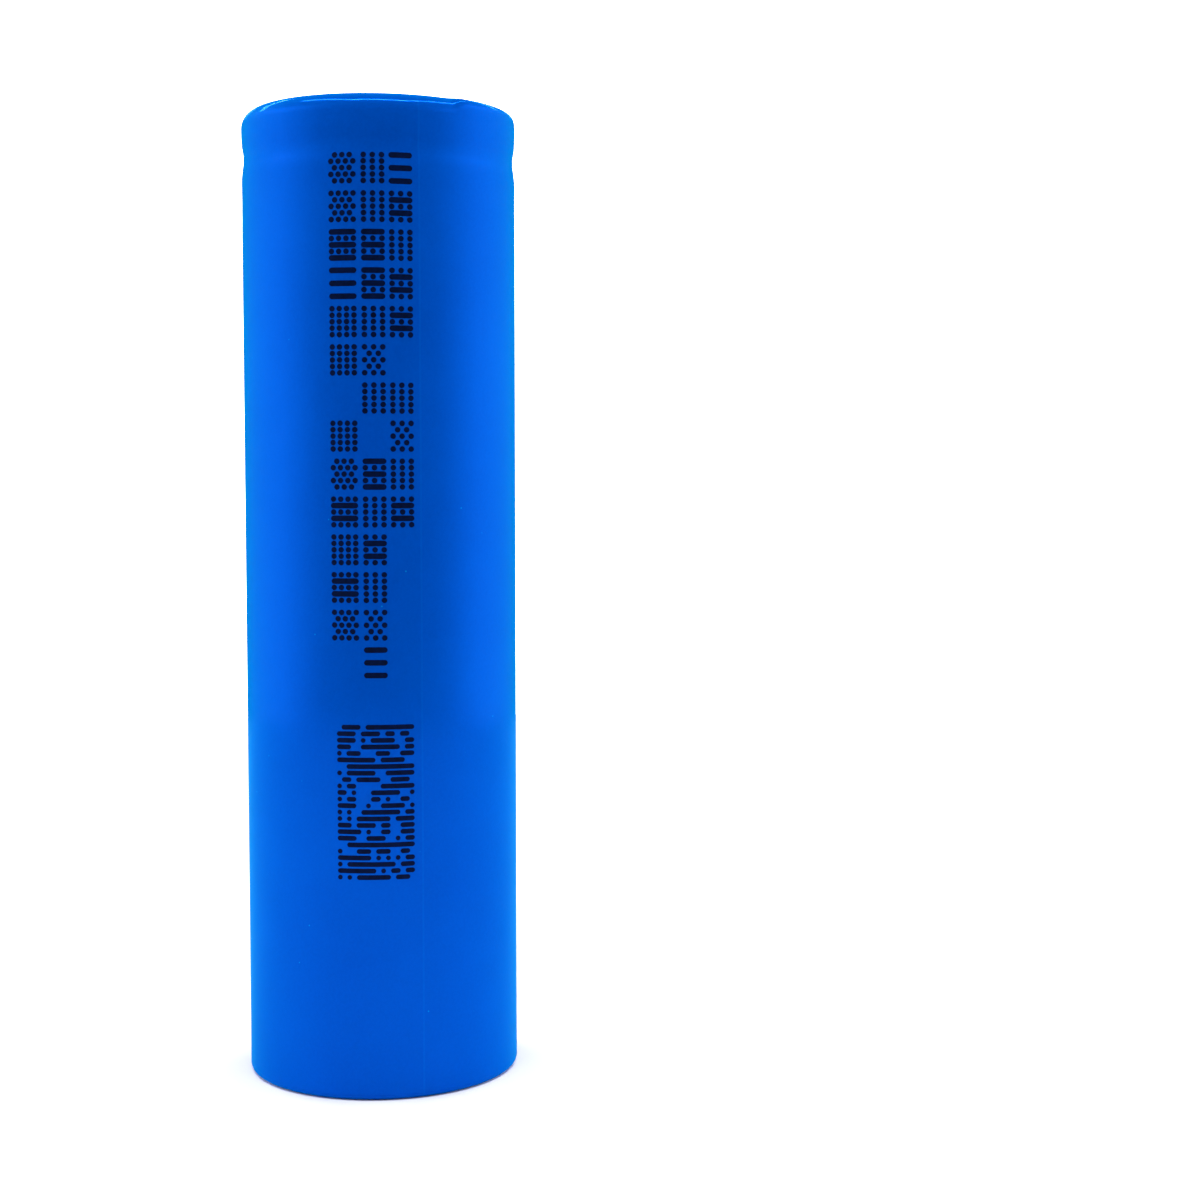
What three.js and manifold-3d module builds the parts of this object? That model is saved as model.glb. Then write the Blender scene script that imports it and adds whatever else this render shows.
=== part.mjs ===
// Cylindrical lithium-ion cell of the 18 mm class, 65 mm long, with a flat positive terminal.
// Millimetres, +Z up. The origin is the centre of the base, on the plane that the cell stands on.
//
// From the outside in: a heat-shrunk sleeve and a terminal washer, a drawn steel can with a rolled
// bead and a crimped lip, the cap assembly that the crimp closes, and the wound electrode roll.
import * as THREE from "three";
import { mergeVertices } from "three/addons/utils/BufferGeometryUtils.js";
import Module from "manifold-3d";

const wasm = await Module();
wasm.setup();

// Driving dimensions.
const CELL_LENGTH = 65;
const CELL_RADIUS = 9.2;
const GAP = 0.03; // clearance between two pieces that touch on the real cell
const SEGMENTS = 40; // facets round every turned piece, so that nested facets stay parallel
const HOLE_SEGMENTS = 10;
const ARC_STEPS = 5;

const SLEEVE = { wall: 0.12, topCorner: 1.2, topHole: 6.4, bottomCorner: 0.45, bottomHole: 7.5 };
const SLEEVE_DIP = { depth: 0.16, halfWidth: 1.15 }; // where the sleeve sinks over the can's bead
const WASHER = { inner: 5.15, outer: 7.6, thickness: 0.25 };
const CAN = { wall: 0.25, floor: 0.3, topCorner: 1.25, bottomCorner: 0.45, lipRadius: 6 };
const BEAD = { height: 61.8, halfWidth: 0.55, depth: 1.15, corner: 0.45 };
const GASKET = { wall: 0.35, upperHole: 4.85, outer: 8.75 };
const GASKET_SKIRT = { inner: 6.35, outer: 6.75, bottom: 61.6 };
const CAP = { sheet: 0.3, discRadius: 4.2, recess: 0.5, skirtFoot: 4.65, flangeRadius: 7.45, edge: 0.25 };
const CAP_VENT = { count: 3, inner: 3.5, outer: 4.95, halfAngle: 0.42, corner: 0.3, firstAngle: 0.09 };
const PTC = { inner: 3.4, thickness: 0.3 };
const VENT = { sheet: 0.25, rimInner: 4.3, dishRadius: 3.85, dishDrop: 0.5 };
const VENT_CENTRE = { radius: 2.15, scoreGap: 0.06, dimpleRadius: 0.9, dimpleFlare: 0.35, dimpleDrop: 0.27 };
const CID = { radius: 6.2, thickness: 0.3, spacerInner: 4.7 };
const CID_HOLES = { count: 6, ringRadius: 3.3, radius: 0.55 };
const ROLL = { core: 2.15, outer: 8.4, turns: 8, stepsPerTurn: 20, layerGap: 0.05 };
const SEPARATOR = { thickness: 0.05, bottom: 0.95, top: 59.9 };
const ANODE = { thickness: 0.2, bottom: 1.3, top: 59.6 };
const CATHODE = { thickness: 0.18, bottom: 1.8, top: 59.1 };
const ROLL_TAPE = { thickness: 0.05, bottom: 6, top: 54 };
const INSULATOR = { thickness: 0.25, radius: 8.4, coreHole: 2.3, upperBottom: 60.15 };
const INSULATOR_VENTS = { count: 6, ringRadius: 5.4, radius: 0.9 };
const TAB = { thickness: 0.12, width: 3, bend: 0.3 };
const POSITIVE_TAB = { standoff: 1.3, bottom: 20, turnHeight: 60.75, reach: 3, weldEnd: 2.6 };
const NEGATIVE_TAB = { standoff: 8.56, top: 14, weldEnd: -2.5 };
const TAB_TAPE = { thickness: 0.06, length: 9 };

// Heights that follow from the stack under the crimp.
const canRadius = CELL_RADIUS - SLEEVE.wall - GAP;
const canBase = SLEEVE.wall + GAP;
const canFloor = canBase + CAN.floor;
const washerTop = CELL_LENGTH - SLEEVE.wall - GAP;
const crimpTop = washerTop - WASHER.thickness - GAP;
const gasketTop = crimpTop - CAN.wall - GAP;
const flangeTop = gasketTop - GASKET.wall - GAP;
const ptcTop = flangeTop - CAP.sheet - GAP;
const ventTop = ptcTop - PTC.thickness - GAP;
const gasketFloor = ventTop - VENT.sheet - GAP;
const capTop = CELL_LENGTH - CAP.recess;
const dishTop = ventTop - VENT.dishDrop;
const dimpleBottom = dishTop - VENT.sheet - VENT_CENTRE.dimpleDrop;
const plateTop = dimpleBottom - GAP;
const plateBottom = plateTop - CID.thickness;

const steel = { roughness: 0.35, metalness: 1 };
const COLOURS = {
  sleeve: { color: 0x0a5fd0, roughness: 0.35, metalness: 0 },
  washer: { color: 0x3b4144, roughness: 0.85, metalness: 0 },
  gasket: { color: 0x151516, roughness: 0.5, metalness: 0 },
  can: { color: 0xb9b8b2, ...steel },
  cap: { color: 0xaea78f, ...steel },
  aluminium: { color: 0xc9cacb, roughness: 0.4, metalness: 1 },
  nickel: { color: 0xb4b0a6, ...steel },
  ptc: { color: 0x26272a, roughness: 0.7, metalness: 0 },
  insulator: { color: 0xe8e6df, roughness: 0.8, metalness: 0 },
  fibre: { color: 0x4b7d6a, roughness: 0.8, metalness: 0 },
  separator: { color: 0xf2f2f0, roughness: 0.5, metalness: 0 },
  anode: { color: 0x2b2a2c, roughness: 0.75, metalness: 0 },
  cathode: { color: 0x36373b, roughness: 0.75, metalness: 0 },
  tape: { color: 0xb8741c, roughness: 0.3, metalness: 0 },
};

const part = new THREE.Group();

function add(name, geometry, colour) {
  const mesh = new THREE.Mesh(geometry, new THREE.MeshStandardMaterial(COLOURS[colour]));
  mesh.name = name;
  part.add(mesh);
}

// Points on an arc in the (radius, height) plane, from one angle to another, in quarter turns.
function arc(radius, height, size, fromQuarter, toQuarter, steps = ARC_STEPS) {
  return Array.from({ length: steps + 1 }, (_, i) => {
    const angle = ((fromQuarter + ((toQuarter - fromQuarter) * i) / steps) * Math.PI) / 2;
    return [radius + size * Math.cos(angle), height + size * Math.sin(angle)];
  });
}

// Turns a closed outline of [radius, height] points, listed anticlockwise, about the Z axis.
function turned(outline) {
  const points = outline.map(([radius, height]) => new THREE.Vector2(radius, height));
  if (outline[0][0] > 0) points.push(points[0].clone());
  return new THREE.LatheGeometry(points, SEGMENTS).rotateX(Math.PI / 2);
}

// A flat ring or tube of rectangular section.
function ring(inner, outer, bottom, top) {
  return turned([[inner, bottom], [outer, bottom], [outer, top], [inner, top]]);
}

// Extrudes a shape in the XY plane from one height to another.
function plate(shape, bottom, top, curveSegments = 6) {
  const depth = top - bottom;
  const geometry = new THREE.ExtrudeGeometry(shape, { depth, bevelEnabled: false, curveSegments });
  return geometry.translate(0, 0, bottom);
}

// Points round a circle, anticlockwise; a full-size circle gets as many facets as a turned piece.
function circlePoints(radius, facets = SEGMENTS, x = 0, y = 0) {
  return Array.from({ length: facets }, (_, i) => {
    const angle = (2 * Math.PI * i) / facets;
    return new THREE.Vector2(x + radius * Math.cos(angle), y + radius * Math.sin(angle));
  });
}

function punchRing(shape, { count, ringRadius, radius }) {
  for (const centre of circlePoints(ringRadius, count)) {
    shape.holes.push(new THREE.Path(circlePoints(radius, HOLE_SEGMENTS, centre.x, centre.y)));
  }
}

// A flat strip, bent along a path in the XZ plane and extruded along Y.
function strip(path, thickness, width) {
  const points = path.getPoints(3);
  const sides = [[], []];
  points.forEach((point, i) => {
    const before = points[Math.max(i - 1, 0)];
    const after = points[Math.min(i + 1, points.length - 1)];
    const along = after.clone().sub(before).normalize();
    const across = new THREE.Vector2(-along.y, along.x).multiplyScalar(thickness / 2);
    sides[0].push(point.clone().add(across));
    sides[1].push(point.clone().sub(across));
  });
  const outline = new THREE.Shape([...sides[0], ...sides[1].reverse()]);
  const geometry = new THREE.ExtrudeGeometry(outline, { depth: width, bevelEnabled: false });
  return geometry.rotateX(Math.PI / 2).translate(0, width / 2, 0);
}

function toSolid(geometry) {
  const bare = geometry.clone();
  bare.deleteAttribute("normal");
  bare.deleteAttribute("uv");
  const merged = mergeVertices(bare, 1e-4);
  const triVerts = new Uint32Array(merged.index.array);
  const vertProperties = merged.attributes.position.array;
  return new wasm.Manifold(new wasm.Mesh({ numProp: 3, vertProperties, triVerts }));
}

function toGeometry(solid) {
  const mesh = solid.getMesh();
  const positions = new THREE.BufferAttribute(new Float32Array(mesh.vertProperties), 3);
  const indices = new THREE.BufferAttribute(new Uint32Array(mesh.triVerts), 1);
  return new THREE.BufferGeometry().setAttribute("position", positions).setIndex(indices);
}

// Heat-shrunk sleeve: a thin tube whose ends fold over the crimp and under the base, and which
// sinks a little where it bridges the can's bead.
function shrinkSleeve() {
  const { wall, topCorner, topHole, bottomCorner, bottomHole } = SLEEVE;
  const side = (radius) =>
    [-1, -0.5, 0, 0.5, 1].map((t) => [
      radius - (SLEEVE_DIP.depth * (1 + Math.cos(Math.PI * t))) / 2,
      BEAD.height + t * SLEEVE_DIP.halfWidth,
    ]);
  const outerTop = arc(CELL_RADIUS - topCorner, CELL_LENGTH - topCorner, topCorner, 0, 1);
  const innerTop = arc(CELL_RADIUS - topCorner, CELL_LENGTH - topCorner, topCorner - wall, 1, 0);
  const outerFoot = arc(CELL_RADIUS - bottomCorner, bottomCorner, bottomCorner, -1, 0);
  const innerFoot = arc(CELL_RADIUS - bottomCorner, bottomCorner, bottomCorner - wall, 0, -1);
  return turned([
    [bottomHole, 0],
    ...outerFoot,
    ...side(CELL_RADIUS),
    ...outerTop,
    [topHole, CELL_LENGTH],
    [topHole, CELL_LENGTH - wall],
    ...innerTop,
    ...side(CELL_RADIUS - wall).reverse(),
    ...innerFoot,
    [bottomHole, wall],
  ]);
}

// Drawn can: flat base, straight wall, bead rolled inwards below the cap, and lip crimped over it.
function steelCan() {
  const { wall, topCorner, bottomCorner, lipRadius } = CAN;
  const { height, halfWidth, depth, corner } = BEAD;
  const valley = canRadius - depth + halfWidth;
  const shoulder = canRadius - corner;
  const rim = halfWidth + corner;
  const outerBead = [
    ...arc(shoulder, height - rim, corner, 0, 1, 2),
    ...arc(valley, height, halfWidth, -1, -3),
    ...arc(shoulder, height + rim, corner, -1, 0, 2),
  ];
  const innerBead = [
    ...arc(shoulder, height + rim, corner - wall, 0, -1, 1),
    ...arc(valley, height, halfWidth + wall, -3, -1),
    ...arc(shoulder, height - rim, corner - wall, 1, 0, 1),
  ];
  const outerTop = arc(canRadius - topCorner, crimpTop - topCorner, topCorner, 0, 1);
  const innerTop = arc(canRadius - topCorner, crimpTop - topCorner, topCorner - wall, 1, 0);
  const footRadius = canRadius - bottomCorner;
  const flatBase = SLEEVE.bottomHole - 0.3;
  const rise = 0.02; // the base is flat inside the sleeve's opening, and rises a hair beyond it
  return turned([
    [0, canBase],
    [flatBase, canBase],
    ...arc(footRadius, canBase + rise + bottomCorner, bottomCorner, -1, 0, 3),
    ...outerBead,
    ...outerTop,
    [lipRadius, crimpTop],
    [lipRadius, crimpTop - wall],
    ...innerTop,
    ...innerBead,
    ...arc(footRadius, canFloor + rise + bottomCorner - wall, bottomCorner - wall, 0, -1, 2),
    [0, canFloor],
  ]);
}

// Crimp gasket: an upper lip, a wall and a floor round the edge of the cap stack, and a skirt
// that hangs inside the bead and holds the current-interrupt plate.
function sealingGasket() {
  const { wall, upperHole, outer } = GASKET;
  const skirt = GASKET_SKIRT;
  const chamfer = 0.95; // keeps the gasket's shoulder inside the can's crimped corner
  return turned([
    [skirt.inner, skirt.bottom],
    [skirt.outer, skirt.bottom],
    [skirt.outer, gasketFloor - wall],
    [outer - 0.25, gasketFloor - wall],
    [outer, gasketFloor - wall + 0.23],
    [outer, gasketTop - chamfer],
    [outer - 0.12, gasketTop - chamfer / 2],
    [outer - 0.42, gasketTop - 0.16],
    [outer - chamfer, gasketTop],
    [upperHole, gasketTop],
    [upperHole, gasketTop - wall],
    [CAP.flangeRadius + 0.05, gasketTop - wall],
    [CAP.flangeRadius + 0.05, gasketFloor],
    [skirt.inner, gasketFloor],
  ]);
}

// Positive terminal: a pressed cap with a raised disc, a short skirt and a wide flange. Three
// vents are cut through the edge of the disc and its skirt.
function terminalCap() {
  const { sheet, discRadius, skirtFoot, flangeRadius, edge } = CAP;
  const flangeBottom = flangeTop - sheet;
  const discBottom = capTop - sheet;
  const cap = toSolid(
    turned([
      [0, discBottom],
      [discRadius - sheet - 0.05, discBottom],
      [skirtFoot - sheet, flangeBottom],
      [flangeRadius, flangeBottom],
      [flangeRadius, flangeTop],
      [skirtFoot + 0.1, flangeTop],
      ...arc(discRadius - edge, capTop - edge, edge, 0, 1, 3),
      [0, capTop],
    ]),
  );
  const { count, inner, outer, halfAngle, corner, firstAngle } = CAP_VENT;
  const cutter = new THREE.Shape();
  const cornerAngle = corner / inner;
  cutter.absarc(0, 0, outer, -halfAngle, halfAngle, false);
  cutter.lineTo((inner + corner) * Math.cos(halfAngle), (inner + corner) * Math.sin(halfAngle));
  cutter.absarc(0, 0, inner, halfAngle - cornerAngle, cornerAngle - halfAngle, true);
  cutter.lineTo((inner + corner) * Math.cos(halfAngle), -(inner + corner) * Math.sin(halfAngle));
  const vents = Array.from({ length: count }, (_, i) => {
    const angle = firstAngle + (2 * Math.PI * i) / count;
    return toSolid(plate(cutter, flangeBottom - 1, capTop + 1, 6).rotateZ(angle));
  });
  return toGeometry(vents.reduce((solid, vent) => solid.subtract(vent), cap));
}

// Rupture disc: the fixed rim and dish, up to the coined score line.
function ventDisc() {
  const { sheet, rimInner, dishRadius } = VENT;
  const scored = VENT_CENTRE.radius + VENT_CENTRE.scoreGap;
  return turned([
    [scored, dishTop - sheet],
    [dishRadius, dishTop - sheet],
    [rimInner, ventTop - sheet],
    [CAP.flangeRadius, ventTop - sheet],
    [CAP.flangeRadius, ventTop],
    [rimInner - 0.1, ventTop],
    [dishRadius - 0.1, dishTop],
    [scored, dishTop],
  ]);
}

// The disc's centre, inside the score line, with the dimple that is welded to the plate below.
function ventDiscCentre() {
  const { sheet } = VENT;
  const { radius, dimpleRadius, dimpleFlare } = VENT_CENTRE;
  const mouth = dimpleRadius + dimpleFlare;
  return turned([
    [0, dimpleBottom],
    [dimpleRadius, dimpleBottom],
    [mouth, dishTop - sheet],
    [radius, dishTop - sheet],
    [radius, dishTop],
    [mouth - 0.1, dishTop],
    [dimpleRadius - 0.1, dimpleBottom + sheet],
    [0, dimpleBottom + sheet],
  ]);
}

function currentInterruptPlate() {
  const shape = new THREE.Shape(circlePoints(CID.radius));
  punchRing(shape, CID_HOLES);
  return plate(shape, plateBottom, plateTop);
}

// One strip of the wound roll. The strips share a spiral of the same pitch, each starting a
// little further out, so that their facets stay parallel.
function woundStrip(offset, { thickness, bottom, top }) {
  const pitch = (ROLL.outer - ROLL.core) / (ROLL.turns + 1);
  const steps = ROLL.turns * ROLL.stepsPerTurn;
  const edge = (extra) =>
    Array.from({ length: steps + 1 }, (_, i) => {
      const turns = i / ROLL.stepsPerTurn;
      const radius = ROLL.core + offset + extra + pitch * turns;
      const angle = 2 * Math.PI * turns;
      return new THREE.Vector2(radius * Math.cos(angle), radius * Math.sin(angle));
    });
  const outline = new THREE.Shape([...edge(thickness), ...edge(0).reverse()]);
  return plate(outline, bottom, top);
}

// A disc with a hole over the roll's core. The upper one also has holes for gas to pass.
function insulatorDisc(bottom, vented) {
  const shape = new THREE.Shape(circlePoints(INSULATOR.radius));
  shape.holes.push(new THREE.Path(circlePoints(INSULATOR.coreHole, SEGMENTS / 2)));
  if (vented) punchRing(shape, INSULATOR_VENTS);
  return plate(shape, bottom, bottom + INSULATOR.thickness);
}

// Up the roll's core, outwards under the plate, and folded back to the weld at its centre.
function positiveTabPath() {
  const { standoff, bottom, turnHeight, reach, weldEnd } = POSITIVE_TAB;
  const { bend, thickness } = TAB;
  const weldHeight = plateBottom - GAP - thickness / 2;
  const fold = (weldHeight - turnHeight) / 2;
  return new THREE.Path()
    .moveTo(standoff, bottom)
    .lineTo(standoff, turnHeight - bend)
    .absarc(standoff - bend, turnHeight - bend, bend, 0, Math.PI / 2, false)
    .lineTo(-reach, turnHeight)
    .absarc(-reach, turnHeight + fold, fold, -Math.PI / 2, -(3 * Math.PI) / 2, true)
    .lineTo(weldEnd, weldHeight);
}

// Down between the roll and the can, then across under the lower insulator to the weld.
function negativeTabPath() {
  const { standoff, top, weldEnd } = NEGATIVE_TAB;
  const { bend, thickness } = TAB;
  const weldHeight = canFloor + GAP + thickness / 2;
  return new THREE.Path()
    .moveTo(standoff, top)
    .lineTo(standoff, weldHeight + bend)
    .absarc(standoff - bend, weldHeight + bend, bend, 0, -Math.PI / 2, true)
    .lineTo(weldEnd, weldHeight);
}

function tabTape(inner, bottom) {
  const straight = new THREE.Path().moveTo(inner, bottom).lineTo(inner, bottom + TAB_TAPE.length);
  return strip(straight, TAB_TAPE.thickness, TAB.width);
}

// Outside.
add("shrink_sleeve", shrinkSleeve(), "sleeve");
const washerBottom = washerTop - WASHER.thickness;
add("terminal_washer", ring(WASHER.inner, WASHER.outer, washerBottom, washerTop), "washer");
add("steel_can", steelCan(), "can");

// Cap assembly, from the top down.
add("sealing_gasket", sealingGasket(), "gasket");
add("terminal_cap", terminalCap(), "cap");
add("ptc_ring", ring(PTC.inner, CAP.flangeRadius, ptcTop - PTC.thickness, ptcTop), "ptc");
add("vent_disc", ventDisc(), "aluminium");
add("vent_disc_centre", ventDiscCentre(), "aluminium");
const spacerTop = ventTop - VENT.sheet - GAP;
add("cid_spacer", ring(CID.spacerInner, CID.radius, plateTop + GAP, spacerTop), "insulator");
add("cid_plate", currentInterruptPlate(), "aluminium");

// Electrode roll and its tabs.
add("upper_insulator", insulatorDisc(INSULATOR.upperBottom, true), "fibre");
const layers = [
  ["inner_separator", SEPARATOR, "separator"],
  ["cathode_sheet", CATHODE, "cathode"],
  ["outer_separator", SEPARATOR, "separator"],
  ["anode_sheet", ANODE, "anode"],
];
let layerOffset = 0;
for (const [name, layer, colour] of layers) {
  add(name, woundStrip(layerOffset, layer), colour);
  layerOffset += layer.thickness + ROLL.layerGap;
}
const tapeInner = ROLL.outer + GAP;
add("roll_tape", ring(tapeInner, tapeInner + ROLL_TAPE.thickness, ROLL_TAPE.bottom, ROLL_TAPE.top), "tape");
add("positive_tab", strip(positiveTabPath(), TAB.thickness, TAB.width), "aluminium");
const positiveTapeFace = POSITIVE_TAB.standoff - (TAB.thickness + TAB_TAPE.thickness) / 2 - GAP;
add("positive_tab_tape", tabTape(positiveTapeFace, SEPARATOR.top - TAB_TAPE.length), "tape");
add("negative_tab", strip(negativeTabPath(), TAB.thickness, TAB.width), "nickel");
const lowerInsulatorBottom = canFloor + TAB.thickness + 2 * GAP;
add("lower_insulator", insulatorDisc(lowerInsulatorBottom, false), "fibre");

export default part;
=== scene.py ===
"""Looks of a cylindrical lithium-ion cell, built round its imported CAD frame.

The cell stands on a white floor with its positive end up. Every piece of the frame is rebuilt finer,
but for the tape on the positive tab. The turned pieces get rounded corners. The wound strips, the tabs
and the drilled holes keep square ones. The sleeve has the dip over the can's bead, the waves and folds
of shrunk film, and a shoulder that is squarer on one side. The roll has 20 turns.
Sizes are in millimetres until a mesh is made.
"""

import math
import random

import bmesh
import bpy
from mathutils import Matrix, Vector, noise


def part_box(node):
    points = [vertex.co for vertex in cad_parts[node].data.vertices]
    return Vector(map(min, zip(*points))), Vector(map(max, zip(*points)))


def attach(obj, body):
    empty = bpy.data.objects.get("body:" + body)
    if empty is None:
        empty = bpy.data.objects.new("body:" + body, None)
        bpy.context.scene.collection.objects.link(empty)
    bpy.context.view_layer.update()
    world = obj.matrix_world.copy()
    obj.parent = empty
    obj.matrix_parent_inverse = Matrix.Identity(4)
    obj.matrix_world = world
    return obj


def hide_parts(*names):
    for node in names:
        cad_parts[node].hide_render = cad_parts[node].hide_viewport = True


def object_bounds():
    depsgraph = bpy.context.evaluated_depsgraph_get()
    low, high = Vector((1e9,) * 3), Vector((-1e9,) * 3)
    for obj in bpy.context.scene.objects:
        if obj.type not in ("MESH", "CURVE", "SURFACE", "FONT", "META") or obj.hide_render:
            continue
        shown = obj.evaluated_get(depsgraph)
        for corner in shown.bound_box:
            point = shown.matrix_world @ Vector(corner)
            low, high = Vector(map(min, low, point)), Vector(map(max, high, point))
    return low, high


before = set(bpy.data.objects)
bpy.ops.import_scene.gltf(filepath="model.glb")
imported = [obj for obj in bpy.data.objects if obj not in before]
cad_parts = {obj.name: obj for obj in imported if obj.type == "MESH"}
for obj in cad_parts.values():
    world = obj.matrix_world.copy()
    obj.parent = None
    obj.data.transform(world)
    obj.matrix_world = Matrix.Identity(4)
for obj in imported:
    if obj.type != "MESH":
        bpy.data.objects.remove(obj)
cad_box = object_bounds()

MM = 0.001
SEGMENTS = 256  # round a piece that is seen
SLEEVE_SEGMENTS = 320
HIDDEN_SEGMENTS = 96  # round a piece inside the can
DRILL_SEGMENTS = 32
CELL, VENT_BODY = "cell", "vent_centre"

# Sizes that a node's box does not give.
SLEEVE_WALL = 0.12
SLEEVE_TOP_CORNER, SLEEVE_TOP_HOLE = 1.2, 6.4
SLEEVE_BOTTOM_CORNER, SLEEVE_BOTTOM_HOLE = 0.45, 7.5
BEAD_HEIGHT = 61.8
WASHER_HOLE, WASHER_SHIFT = 5.15, 0.12
CAN_WALL, CAN_FLOOR, CAN_LIP = 0.25, 0.3, 6.0
GROOVE_DEPTH, GROOVE_REACH = 1.15, 0.55  # the bead seen from outside: how deep, and half its height
GASKET_WALL, GASKET_HOLE = 0.35, 4.85
SKIRT_INNER, SKIRT_OUTER = 6.35, 6.75
CAP_DISC, CAP_SKIRT_FOOT, CAP_SHEET = 4.2, 4.65, 0.3
WINDOWS, WINDOW_ANGLE, WINDOW_HALF_ANGLE = 3, 0.09, 0.42
WINDOW_INNER, WINDOW_OUTER, WINDOW_CORNER = 3.5, 4.95, 0.3
VENT_SHEET, VENT_DISH_DROP, VENT_SCORE = 0.25, 0.5, 2.21
PTC_HOLE, SPACER_HOLE = 3.4, 4.7
TAB_THICKNESS = 0.12
GAP = 0.03


def size_of(node):
    """A node's outer radius, lowest and highest point, in millimetres."""
    low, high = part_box(node)
    return high.x / MM, low.z / MM, high.z / MM


CELL_RADIUS, _, CELL_HEIGHT = size_of("shrink_sleeve")
NO_RADIUS = 1e-6  # an outline's point nearer to the axis than this is on it


# ---------------------------------------------------------------- outlines and meshes


def rounded(corners, steps=6):
    """An outline of (radius, height) points from (radius, height, fillet) corners, each fillet an arc."""
    outline = []
    for i, (x, y, fillet) in enumerate(corners):
        here = Vector((x, y))
        if not fillet:
            outline.append((x, y))
            continue
        before = (Vector(corners[i - 1][:2]) - here).normalized()
        after = (Vector(corners[(i + 1) % len(corners)][:2]) - here).normalized()
        half = before.angle(after) / 2
        centre = here + (before + after).normalized() * fillet / math.sin(half)
        start = here + before * fillet / math.tan(half) - centre
        end = here + after * fillet / math.tan(half) - centre
        turn = start.angle_signed(end)
        for step in range(steps + 1):
            angle = -turn * step / steps
            cosine, sine = math.cos(angle), math.sin(angle)
            outline.append(
                (centre.x + start.x * cosine - start.y * sine, centre.y + start.x * sine + start.y * cosine)
            )
    return outline


def finished(name, vertices, faces, material, smooth_under=35):
    """A mesh object from points in millimetres, with outward faces, smooth but for its real edges."""
    mesh = bpy.data.meshes.new(name)
    mesh.from_pydata([[c * MM for c in v] for v in vertices], [], faces)
    tidy = bmesh.new()
    tidy.from_mesh(mesh)
    bmesh.ops.recalc_face_normals(tidy, faces=tidy.faces)
    tidy.to_mesh(mesh)
    tidy.free()
    made = bpy.data.objects.new(name, mesh)
    bpy.context.scene.collection.objects.link(made)
    shade(made, smooth_under)
    mesh.materials.append(material)
    return made


def shade(made, smooth_under):
    """Smooth shading, but for the edges that turn by more than an angle in degrees."""
    made.data.shade_smooth()
    made.data.set_sharp_from_angle(angle=math.radians(smooth_under))


def turned(name, outline, material, segments=SEGMENTS, warp=None, smooth_under=35):
    """Turns an outline about Z. It closes on itself, or starts and ends on the axis."""
    vertices, rings, faces = [], [], []
    for radius, height in outline:
        if radius < NO_RADIUS:
            rings.append([len(vertices)] * segments)
            vertices.append((0, 0, height))
            continue
        rings.append(list(range(len(vertices), len(vertices) + segments)))
        for i in range(segments):
            angle = 2 * math.pi * i / segments
            r, z = warp(radius, height, angle) if warp else (radius, height)
            vertices.append((r * math.cos(angle), r * math.sin(angle), z))
    on_axis = outline[0][0] < NO_RADIUS
    pairs = list(zip(rings, rings[1:])) + ([] if on_axis else [(rings[-1], rings[0])])
    for lower, upper in pairs:
        for i in range(segments):
            j = (i + 1) % segments
            corners = [lower[i], lower[j], upper[j], upper[i]]
            faces.append(list(dict.fromkeys(corners)))
    return finished(name, vertices, faces, material, smooth_under)


def tube(inner, outer, bottom, top, fillet):
    """The outline of a flat ring or tube with softened corners."""
    return rounded(
        [(inner, bottom, fillet), (outer, bottom, fillet), (outer, top, fillet), (inner, top, fillet)], 3
    )


def applied(made):
    """Turns an object's modifiers into its mesh."""
    graph = bpy.context.evaluated_depsgraph_get()
    mesh = bpy.data.meshes.new_from_object(made.evaluated_get(graph))
    made.modifiers.clear()
    made.data = mesh


def cut(made, cutter):
    """Takes one closed solid out of another."""
    boolean = made.modifiers.new("cut", "BOOLEAN")
    boolean.operation, boolean.solver, boolean.object = "DIFFERENCE", "EXACT", cutter
    applied(made)
    bpy.data.objects.remove(cutter)


def flats_merged(made):
    """Joins the faces of each flat area, so that it shades evenly."""
    tidy = bmesh.new()
    tidy.from_mesh(made.data)
    bmesh.ops.remove_doubles(tidy, verts=tidy.verts, dist=0.0005 * MM)
    bmesh.ops.dissolve_limit(
        tidy, angle_limit=math.radians(0.05), verts=tidy.verts, edges=tidy.edges, delimit={"NORMAL"}
    )
    tidy.to_mesh(made.data)
    tidy.free()


def stands_for(made, nodes, body=CELL):
    """Puts a piece on its body, in the place of the CAD nodes that it shows."""
    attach(made, body)
    if nodes:
        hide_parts(*nodes)


def smoothstep(low, high, value):
    t = min(max((value - low) / (high - low), 0), 1)
    return t * t * (3 - 2 * t)


def bump(centre, width, value):
    """1 at the centre, falling smoothly to 0 a width away on either side."""
    t = min(abs(value - centre) / width, 1)
    return (1 + math.cos(math.pi * t)) / 2


# ---------------------------------------------------------------- materials

CREASE = math.radians(-74)  # the film was folded flat here, and on the opposite side, before it was shrunk


def node(tree, kind, inputs=None, **settings):
    made = tree.nodes.new(kind)
    for name, value in settings.items():
        setattr(made, name, value)
    for name, value in (inputs or {}).items():
        if isinstance(value, bpy.types.NodeSocket):
            tree.links.new(value, made.inputs[name])
        else:
            made.inputs[name].default_value = value
    return made


def position(tree, stretch=(1, 1, 1)):
    """Object coordinates in millimetres, stretched along an axis where the pattern runs along it."""
    place = node(tree, "ShaderNodeTexCoord").outputs["Object"]
    scale = [s / MM for s in stretch]
    return node(tree, "ShaderNodeMapping", {"Vector": place, "Scale": scale}).outputs["Vector"]


def speckle(tree, per_mm, stretch=(1, 1, 1), detail=3, roughness=0.55):
    """Noise with so many cells to the millimetre."""
    inputs = {"Vector": position(tree, stretch), "Scale": per_mm, "Detail": detail, "Roughness": roughness}
    return node(tree, "ShaderNodeTexNoise", inputs).outputs["Fac"]


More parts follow.
